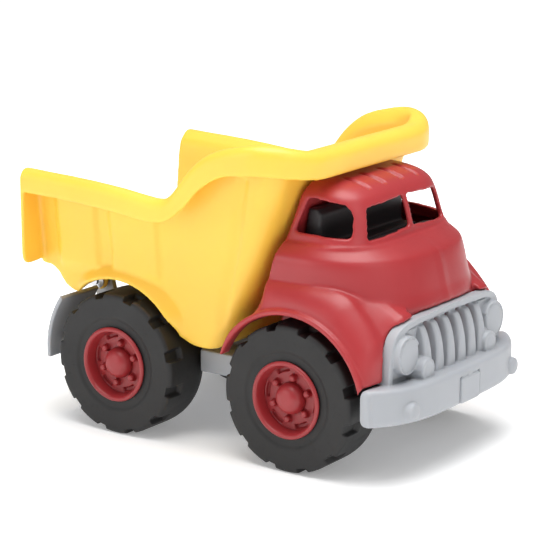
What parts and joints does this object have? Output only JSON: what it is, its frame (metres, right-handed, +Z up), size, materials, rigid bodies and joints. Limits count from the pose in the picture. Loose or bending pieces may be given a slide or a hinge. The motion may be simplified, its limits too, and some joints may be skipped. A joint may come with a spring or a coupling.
{
  "type": "toy dump truck",
  "caption": "Chunky moulded toy dump truck with a tipping hopper bed, rounded cab with open windows, slotted grille and free-rolling wheels.",
  "frame": {"origin": "centre of the footprint box, on the ground under the tyres", "axes": "+X forward to the bumper, +Y to the truck's left, +Z up"},
  "size_m": [0.254, 0.166, 0.1799],
  "materials": {
    "yellow_plastic": "satin moulded",
    "red_plastic": "satin moulded",
    "dark_red_plastic": "satin moulded",
    "grey_plastic": "satin moulded",
    "tyre_plastic": "matt moulded",
    "black_plastic": "satin moulded",
    "steel": "bright plated"
  },
  "bodies": {
    "chassis": {"chassis_frame": "grey_plastic", "grille_bumper": "grey_plastic", "cab_shell": "red_plastic", "cab_liner": "black_plastic", "front_axle": "steel", "rear_axle": "steel", "axle_nut_front_left": "steel", "axle_nut_front_right": "steel", "axle_nut_rear_left": "steel", "axle_nut_rear_right": "steel", "hinge_rod": "steel", "hinge_nut_left": "steel", "hinge_nut_right": "steel", "bumper_screw_left": "steel", "bumper_screw_right": "steel", "cab_screw_1": "steel", "cab_screw_2": "steel", "cab_screw_3": "steel", "cab_screw_4": "steel"},
    "bed": {"dump_bed": "yellow_plastic"},
    "wheel_front_left": {"tyre_front_left": "tyre_plastic", "rim_front_left": "dark_red_plastic", "hub_cap_front_left": "dark_red_plastic"},
    "wheel_front_right": {"tyre_front_right": "tyre_plastic", "rim_front_right": "dark_red_plastic", "hub_cap_front_right": "dark_red_plastic"},
    "wheel_rear_left": {"tyre_rear_left": "tyre_plastic", "rim_rear_left": "dark_red_plastic", "hub_cap_rear_left": "dark_red_plastic"},
    "wheel_rear_right": {"tyre_rear_right": "tyre_plastic", "rim_rear_right": "dark_red_plastic", "hub_cap_rear_right": "dark_red_plastic"}
  },
  "joints": [
    {"name": "bed_tip", "type": "hinge", "parent": "chassis", "child": "bed", "pos_m": [-0.111, 0, 0.076], "axis": [0, -1, 0], "range_deg": [0, 50]},
    {"name": "spin_front_left", "type": "hinge", "parent": "chassis", "child": "wheel_front_left", "pos_m": [0.055, 0.057, 0.0414], "axis": [0, 1, 0], "continuous": true},
    {"name": "spin_front_right", "type": "hinge", "parent": "chassis", "child": "wheel_front_right", "pos_m": [0.055, -0.057, 0.0414], "axis": [0, 1, 0], "continuous": true},
    {"name": "spin_rear_left", "type": "hinge", "parent": "chassis", "child": "wheel_rear_left", "pos_m": [-0.065, 0.057, 0.0414], "axis": [0, 1, 0], "continuous": true},
    {"name": "spin_rear_right", "type": "hinge", "parent": "chassis", "child": "wheel_rear_right", "pos_m": [-0.065, -0.057, 0.0414], "axis": [0, 1, 0], "continuous": true}
  ]
}
